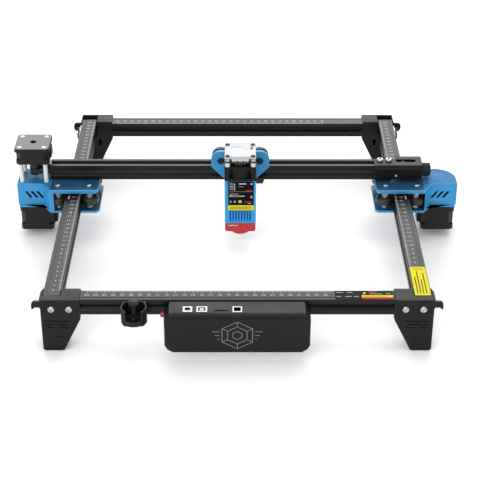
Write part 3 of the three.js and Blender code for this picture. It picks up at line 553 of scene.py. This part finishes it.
def roller(node, at, direction):
    """A black roller with stepped shoulders, a fine groove round its tread and a steel bearing."""
    part = Part(node + "_skin")
    matrix = facing(at, direction)
    tyre = [
        (5.6, -4.2), (5.6, -4.6), (6.1, -4.8), (8.3, -4.8), (8.5, -4.6), (8.8, -4.6), (9.0, -4.8),
        (9.5, -4.8), (9.7, -4.7), (11.5, -2.9), (11.7, -2.6), (11.7, -0.25), (11.5, 0), (11.7, 0.25),
        (11.7, 2.6), (11.5, 2.9), (9.7, 4.7), (9.5, 4.8), (9.0, 4.8), (8.8, 4.6), (8.5, 4.6),
        (8.3, 4.8), (6.1, 4.8), (5.6, 4.6), (5.6, 4.2),
    ]
    bearing = [
        (2.9, -4.2), (2.9, -4.4), (3.7, -4.4), (3.9, -4.1), (4.9, -4.1), (5.1, -4.3), (5.6, -4.3),
        (5.6, 4.3), (5.1, 4.3), (4.9, 4.1), (3.9, 4.1), (3.7, 4.4), (2.9, 4.4), (2.9, 4.2),
    ]
    count = 40
    for profile, key in ((tyre, "roller"), (bearing, "brushed")):
        points = [(radius * math.cos(angle), radius * math.sin(angle), height)
                  for radius, height in profile for angle in ring(count)]
        faces = []
        rows = len(profile)
        for row in range(rows):
            nxt = (row + 1) % rows
            for i in range(count):
                j = (i + 1) % count
                faces.append([row * count + i, row * count + j, nxt * count + j, nxt * count + i])
        part.add(points, faces, key, matrix, True)
    part.done(node, (node,))


for tag, side in (("left", -1), ("right", 1)):
    for spot, (x, y) in ROLLER_SPOTS.items():
        roller(f"y_roller_{tag}_{spot}", (side * x, GANTRY_Y + y, ROLLER_Z), "+z")
for tag, (x, z) in X_ROLLER_SPOTS.items():
    roller("x_roller_" + tag, (HEAD_X + x, GANTRY_Y, BEAM_Z + z), "+y")

# ---------------------------------------------------------------- rulers

def glyphs():
    """Outlines of the ten digits as flat meshes, one unit high, centred."""
    made = {}
    for digit in "0123456789":
        text = bpy.data.curves.new("digit", "FONT")
        text.body = digit
        text.align_x = "CENTER"
        text.resolution_u = 3
        holder = bpy.data.objects.new("digit", text)
        bpy.context.scene.collection.objects.link(holder)
        bpy.context.view_layer.update()
        mesh = bpy.data.meshes.new_from_object(holder.evaluated_get(bpy.context.evaluated_depsgraph_get()))
        tall = [v.co.y for v in mesh.vertices]
        low, high = min(tall), max(tall)
        points = [(v.co.x / (high - low), (v.co.y - low) / (high - low) - 0.5) for v in mesh.vertices]
        made[digit] = (points, [list(face.vertices) for face in mesh.polygons])
        bpy.data.objects.remove(holder)
        bpy.data.meshes.remove(mesh)
        bpy.data.curves.remove(text)
    return made


DIGITS = glyphs()
DIGIT_PITCH = 0.78  # beside the digits' height
DIGIT_HEIGHT = 3.3
INK_LIFT = 0.04
RAIL_RULER_Y = 21.7  # zero mark of the side rulers
RAIL_RULER_MARKS = 441  # one each millimetre, the zero mark included
CROSS_RULER_MARKS = 321
CROSS_RULER_REACH = 176  # the rulers of the two bars stay between the caps of the legs
RAIL_LABEL_END = 74  # the right rail's ruler starts behind its label
FRONT_LABEL_START = 109  # the front bar's ruler ends before its label


def number(part, text, matrix):
    """A number of printed digits, centred on the matrix's origin."""
    step = DIGIT_HEIGHT * DIGIT_PITCH
    start = -step * (len(text) - 1) / 2
    for place, digit in enumerate(text):
        points, faces = DIGITS[digit]
        shift = start + place * step
        spots = [(x * DIGIT_HEIGHT + shift, y * DIGIT_HEIGHT, INK_LIFT) for x, y in points]
        part.add(spots, faces, "ink", matrix)


def tick_length(millimetre):
    """Centimetre marks are longest, and half-centimetre marks next."""
    if millimetre % 10 == 0:
        return 4.2
    return 3.0 if millimetre % 5 == 0 else 1.9


def tick_half_width(millimetre):
    return 0.16 if millimetre % 10 else 0.24


def rail_ruler(side):
    """A ruler along a side rail: ticks on its inner edge, numbers along its middle."""
    part = Part("ruler_right" if side > 0 else "ruler_left")
    top = Matrix.Translation((0, 0, FRAME_TOP))
    inner = RAIL_X - 9.0
    for mark in range(RAIL_RULER_MARKS):
        y = RAIL_RULER_Y + mark
        if side > 0 and y < RAIL_LABEL_END:
            continue
        length = tick_length(mark)
        half = tick_half_width(mark)
        low, high = sorted((side * inner, side * (inner + length)))
        part.patch((low, y - half), (high, y + half), INK_LIFT, "ink", top)
        if mark % 10 == 0:
            spot = Matrix.Translation((side * (RAIL_X - 0.9), y, FRAME_TOP))
            number(part, str(mark // 10), spot)
    low, high = sorted((side * 214.3, side * 215.9))
    part.patch((low, 236), (high, 246.5), 0.05, "ink_white", top)  # a mark beside the numbers
    part.done("frame")


def cross_ruler(name, first, start, middle, edge, inward):
    """A ruler on a bar along x: ticks from its inner edge, numbers along its middle."""
    part = Part(name)
    top = Matrix.Translation((0, 0, FRAME_TOP))
    for mark in range(first * 10, CROSS_RULER_MARKS):
        x = start + mark
        if abs(x) > CROSS_RULER_REACH or (name == "ruler_front" and x > FRONT_LABEL_START):
            continue
        length = tick_length(mark)
        half = tick_half_width(mark)
        low, high = sorted((edge, edge - inward * length))
        part.patch((x - half, low), (x + half, high), INK_LIFT, "ink", top)
        if mark % 10 == 0:
            spot = Matrix.Translation((x, middle, FRAME_TOP))
            number(part, f"{mark // 10:02d}", spot)
    part.done("frame")


rail_ruler(-1)
rail_ruler(1)
cross_ruler("ruler_front", 3, -200.2, 11.2, 19.7, 1)
cross_ruler("ruler_rear", 3, -199.7, 466.8, 458.3, -1)

# ---------------------------------------------------------------- labels

FILM_TOP = 0.14
FILM_INK = 0.17  # height of what is printed on a film
STRIP_TOP = 0.2
LINE_WIDTH = 1.1


def front_labels():
    """A black film on the front bar with plain lines, and a yellow and a red strip on it."""
    part = Part("front_bar_labels")
    top = Matrix.Translation((0, 0, FRAME_TOP))
    part.prism(rectangle(110.4, 1.7, 176.4, 19.4), FILM_GAP, FILM_TOP, "film_black", top)
    part.prism(rectangle(140.6, 6.0, 176.0, 10.4), FILM_TOP, STRIP_TOP, "film_yellow", top)
    part.prism(rectangle(140.6, 2.0, 176.0, 5.6), FILM_TOP, STRIP_TOP, "film_red", top)
    part.patch((149, 15.6), (158, 18.6), FILM_INK, "film_red", top)
    part.patch((142.4, 13), (145.4, 16), FILM_INK, "film_yellow", top)
    lines = ((112, 120, 15.5), (124, 131, 15.5), (112, 117, 7.2), (122, 129, 7.2), (131.5, 137, 7.2),
             (150, 164, 12.6), (168, 174, 13.4))
    for start, end, y in lines:
        part.patch((start, y), (end, y + LINE_WIDTH), FILM_INK, "ink_grey", top)
    part.patch((142, 7.8), (170, 8.5), STRIP_TOP + 0.03, "film_black", top)
    part.done("frame")


def rail_label():
    """A yellow film with plain lines at the front of the right rail."""
    part = Part("right_rail_label")
    top = Matrix.Translation((0, 0, FRAME_TOP))
    part.prism(rectangle(201.2, 10.4, 219.3, 71.6), FILM_GAP, FILM_TOP, "film_yellow", top)
    for column, end in enumerate((50, 62, 44, 58)):
        x = 204.2 + 3.4 * column
        part.patch((x, 14), (x + LINE_WIDTH, end), FILM_INK, "film_black", top)
    part.patch((204, 64.4), (216.5, 65.2), FILM_INK, "film_black", top)
    part.patch((204, 68.2), (216.5, 69), FILM_INK, "film_black", top)
    part.done("frame")


front_labels()
rail_label()


def front_side(x, y):
    """A face towards the front: its matrix, and which way right and up are in its local xy."""
    face = facing((x, y, 0), "-y")
    return face, 1 if face.col[0].x > 0 else -1, 1 if face.col[1].z > 0 else -1


def front_marks(part, side, marks, lift):
    """Printed rectangles on a face towards the front, each given as x and z ranges and a finish."""
    face, right, up = side
    for xa, xb, za, zb, key in marks:
        x = sorted((xa * right, xb * right))
        z = sorted((za * up, zb * up))
        part.patch((x[0], z[0]), (x[1], z[1]), lift, key, face)


HEAD_LABEL_MARKS = [
    *((-13.6, -9.2, 90.2 + 2.1 * row, 91.2 + 2.1 * row, "ink_grey") for row in range(5)),
    (-1.8, 7.6, 97.6, 99.0, "ink_white"),
    (-1.8, 4.2, 94.0, 94.7, "ink_grey"),
    (13.0, 15.2, 97.0, 99.4, "ink_white"),
    (-8.2, -6.6, 88.6, 99.0, "ink_grey"),
    (-13.6, 15.4, 87.0, 87.4, "ink_grey"),
    (7.0, 15.4, 87.9, 89.5, "film_red"),
    *((-13.6, -3.0 + 2.2 * row, 83.6 - 1.9 * row, 84.4 - 1.9 * row, "ink_grey") for row in range(3)),
    (-13.6, -10.4, 80.2, 81.6, "film_yellow"),
    (-1.0, 5.2, 80.2, 81.4, "ink_white"),
    (12.6, 15.4, 77.8, 81.4, "ink_grey"),
    (-13.4, -11.2, 71.4, 74.2, "ink_grey"),
    (-8.2, -5.8, 71.4, 74.2, "ink_grey"),
    (-2.2, 1.6, 71.2, 74.8, "film_yellow"),
    (5.2, 15.2, 72.0, 73.8, "film_red"),
    (9.6, 13.6, 70.0, 70.8, "ink_white"),
    (-12.0, 13.8, 64.6, 65.2, "film_black"),
    (-13.4, 11.0, 62.4, 63.0, "film_black"),
]


def head_label():
    """The laser head's label: a black film with plain lines and blocks, and a yellow strip below it."""
    part = Part("laser_label")
    side = front_side(HEAD_X, HEAD_FRONT)
    face, right, up = side
    for xa, xb, za, zb, key in ((-15.2, 17.0, 67.9, 101.4, "film_black"),
                                (-15.4, 17.2, 60.4, 67.7, "film_yellow")):
        part.prism(rectangle(xa * right, za * up, xb * right, zb * up), FILM_GAP, 0.2, key, face)
    front_marks(part, side, HEAD_LABEL_MARKS, 0.24)
    part.done("laser_head")


head_label()


def guard_mark():
    """Two short lines on the front of the beam guard."""
    part = Part("guard_mark")
    marks = ((-15, -7.5, 37.4, 38.6, "ink_white"), (-6.5, -3.4, 37.4, 38.6, "ink_white"))
    front_marks(part, front_side(HEAD_X, GUARD_FRONT), marks, 0.05)
    part.done("laser_head")


guard_mark()


def box_pattern():
    """Plain lines on the control box's front: hexagons with spokes, short lines, and the lid's seam."""
    part = Part("control_box_pattern")
    face, _, up = front_side(0, BOX_FRONT)
    middle = 39.5 * up
    width, lift, widen = 0.5, 0.05, 1.1
    smallest, spoke_start, spoke_end = 5.5, 11.5, 18.0

    def corner(radius, i):
        angle = math.radians(60 * i + 30)
        return radius * math.cos(angle) * widen, middle + radius * math.sin(angle)

    for radius in (smallest, spoke_start, spoke_end):
        outline = [corner(radius, i) for i in range(6)]
        part.stroke(outline, width, lift, "ink_grey", face, closed=True)
    for i in range(6):
        part.stroke([corner(spoke_start, i), corner(spoke_end, i)], width, lift, "ink_grey", face)
    for side in (-1, 1):
        for row in range(3):
            reach = 28 - 3 * row
            level = middle + 5 - 5 * row
            part.stroke([(side * 20.2, level), (side * reach, level)], width, lift, "ink_grey", face)
    seam = 62.3 * up
    part.stroke([(-78, seam), (78, seam)], 0.6, 0.04, "film_black", face)
    part.done("frame")


box_pattern()

part = Part("socket_contacts")
level = Matrix.Identity(4)
part.prism(rectangle(-42.0, -15.4, -37.2, -12.9), 62.0, 66.6, "white", level, 0.1)
part.prism(rectangle(-56.2, -15.6, -54.8, -14.4), 62.0, 66.0, "brushed", level, 0.1)
part.done("frame")

# ---------------------------------------------------------------- screws and small fittings

CORNERS = ((-1, -1), (-1, 1), (1, -1), (1, 1))
LEG_SCREW_X = (RAIL_X, 190.2)
LEG_SCREW_Z = 56.6

for end, y, direction in (("front", -0.05, "-y"), ("rear", FRAME_DEPTH + 0.05, "+y")):
    for tag, side in (("left", -1), ("right", 1)):
        part = Part(f"leg_screws_{end}_{tag}")
        for x in LEG_SCREW_X:
            screw(part, (side * x, y, LEG_SCREW_Z), direction, 4.15, 2.2)
        part.done("frame")

for tag, side in (("left", -1), ("right", 1)):
    part = Part("plate_screws_" + tag)
    for x, y in ROLLER_SPOTS.values():
        screw(part, (side * x, GANTRY_Y + y, PLATE_TOP), "+z", 4.1, 2.4)
        screw(part, (side * x, GANTRY_Y + y, SHELF_BOTTOM), "-z", 3.6, 2.2)
    part.done("gantry")
    part = Part("motor_screws_" + tag)
    for a, b in CORNERS:
        spot = (side * MOTOR_X + a * MOTOR_SCREW, GANTRY_Y + b * MOTOR_SCREW, 10.8)
        screw(part, spot, "-z", 2.7, 1.6, drive="cross")
    part.done("gantry")

X_MOTOR_TOP = 127.9
SCREW_SINK = 0.4  # these heads start below the motor's top
countersink = [(3.5, -0.6), (3.5, 0.06), (3.2, 0.06), (3.2, -0.1), (0.01, -0.12)]
part = Part("x_motor_screws")
for a, b in CORNERS:
    x, y = -MOTOR_X + a * MOTOR_SCREW, GANTRY_Y + b * MOTOR_SCREW
    part.lathe(countersink, "gloss_black", facing((x, y, X_MOTOR_TOP), "+z"))
    screw(part, (x, y, X_MOTOR_TOP - SCREW_SINK), "+z", 3.0, 0.9, "white", "cross")
part.done("gantry")

part = Part("tensioner_screws")
for x in (184.2, 195.4):
    screw(part, (x, GANTRY_Y, 101), "+z", 4.4, 3.2)
screw(part, (204, GANTRY_Y - 16.5, 87.4), "-y", 1.9, 1.0)
screw(part, (220, GANTRY_Y + 12.5, 87.4), "+y", 1.9, 1.0)
part.done("gantry")

part = Part("carriage_screws")
for x, z in X_ROLLER_SPOTS.values():
    screw(part, (HEAD_X + x, CARRIAGE_FRONT, BEAM_Z + z), "-y", 4.2, 2.1, "dark_steel")
part.done("carriage")

part = Part("head_cover_fittings")
for a, b in CORNERS:
    spot = (HEAD_X + a * COVER_SCREW, HEAD_Y + b * COVER_SCREW, COVER_TOP)
    screw(part, spot, "+z", 2.9, 1.5, "dark_steel", "cross")
top = Matrix.Translation((HEAD_X, HEAD_Y, COVER_TOP))
part.prism(rectangle(-9.5, 9.6, 1.8, 14.6), FILM_GAP, 0.5, "film_grey", top, 0.15)
part.stroke([(-12.6, 18.4), (12.6, 18.4)], 0.9, 0.05, "ink_grey", top)
part.stroke([(-17.8, 11.5), (-17.8, -11.5)], 0.35, 0.05, "ink_grey", top)
part.prism(rectangle(13.2, 3.6, 15.4, 9.2), FILM_GAP, 1.3, "chip", top, 0.2)
part.prism(rectangle(3.2, 4.2, 11.2, 12.8), FILM_GAP, 0.12, "film_grey", top)
part.stroke([(-13.4, -17.6), (13.4, -17.6)], 1.3, 0.05, "gloss_black", top)
part.done("laser_head")

part = Part("head_board_parts")
deck = Matrix.Translation((HEAD_X, HEAD_Y, 128.6))
for i in range(-3, 4):
    x = 3.6 * i
    part.prism(rectangle(x - 0.9, -19.2, x + 0.9, -18.5), 0.1, 1.5,
               "gloss_black" if i % 2 else "brushed", deck)
part.done("laser_head")

part = Part("cover_disc_right")
disc = Matrix.Translation((MOTOR_X - 2.5, GANTRY_Y + 2, PLATE_TOP))
circle = [(12.2 * math.cos(angle), 12.2 * math.sin(angle)) for angle in ring(24)]
part.stroke(circle, 0.35, 0.05, "blue", disc, closed=True)
for row, (a, b) in enumerate(((-6.5, 6.5), (-4.5, 4.5))):
    part.stroke([(a, 2.5 - 4 * row), (b, 2.5 - 4 * row)], 0.5, 0.05, "blue", disc)
for i in range(5):
    part.stroke([(-6 + 3 * i, 6.3), (-5.2 + 3 * i, 6.3)], 0.6, 0.05, "blue", disc)
part.done("gantry")

# ---------------------------------------------------------------- camera, light and floor

CAMERA_AT = metres(-0.06, -1268.1, 894.7)
CAMERA_LENS = 100.91
CAMERA_TURN, CAMERA_TILT, CAMERA_ROLL = (math.radians(angle) for angle in (-0.135, 59.49, 0.08))
camera_data = bpy.data.cameras.new("camera")
camera_data.sensor_width = 36
camera_data.lens = CAMERA_LENS
camera = bpy.data.objects.new("camera", camera_data)
bpy.context.scene.collection.objects.link(camera)
turn = Matrix.Rotation(CAMERA_TURN, 4, "Z") @ Matrix.Rotation(CAMERA_TILT, 4, "X")
camera.matrix_world = Matrix.Translation(CAMERA_AT) @ turn @ Matrix.Rotation(CAMERA_ROLL, 4, "Z")
bpy.context.scene.camera = camera


def softbox(name, at, size, power):
    """A rectangular lamp, in metres and watts, that faces the middle of the machine."""
    data = bpy.data.lights.new(name, "AREA")
    data.shape = "RECTANGLE"
    data.size, data.size_y = size
    data.energy = power
    lamp = bpy.data.objects.new(name, data)
    bpy.context.scene.collection.objects.link(lamp)
    lamp.location = at
    lamp.rotation_euler = (Vector((0, 0, 0.05)) - Vector(at)).to_track_quat("-Z", "Y").to_euler()


softbox("back_softbox", (0, 1.9, 1.25), (2.6, 1.3), 38)
softbox("front_softbox", (-0.7, -1.9, 1.5), (1.6, 1.2), 22)
softbox("top_softbox", (0.3, 0.1, 2.4), (1.6, 1.6), 16)
world = bpy.data.worlds.new("studio")
bpy.context.scene.world = world
world.use_nodes = True
world.node_tree.nodes["Background"].inputs["Color"].default_value = (1, 1, 1, 1)
world.node_tree.nodes["Background"].inputs["Strength"].default_value = 0.75
bpy.context.scene.view_settings.view_transform = "Standard"

FLOOR_REACH = 4  # metres
FLOOR_Z = -0.0002
ground = bmesh.new()
for x, y in rectangle(-FLOOR_REACH, -FLOOR_REACH, FLOOR_REACH, FLOOR_REACH):
    ground.verts.new((x, y, FLOOR_Z))
ground.faces.new(ground.verts)
ground_mesh = bpy.data.meshes.new("floor")
ground.to_mesh(ground_mesh)
ground.free()
paper = finish("floor_paper", "f4f4f4", "fbfbfb", (0.85, 0.95), 0.0, 300, 0.02, specular=0.1)
ground_mesh.materials.append(paper)
floor = bpy.data.objects.new("floor", ground_mesh)
bpy.context.scene.collection.objects.link(floor)
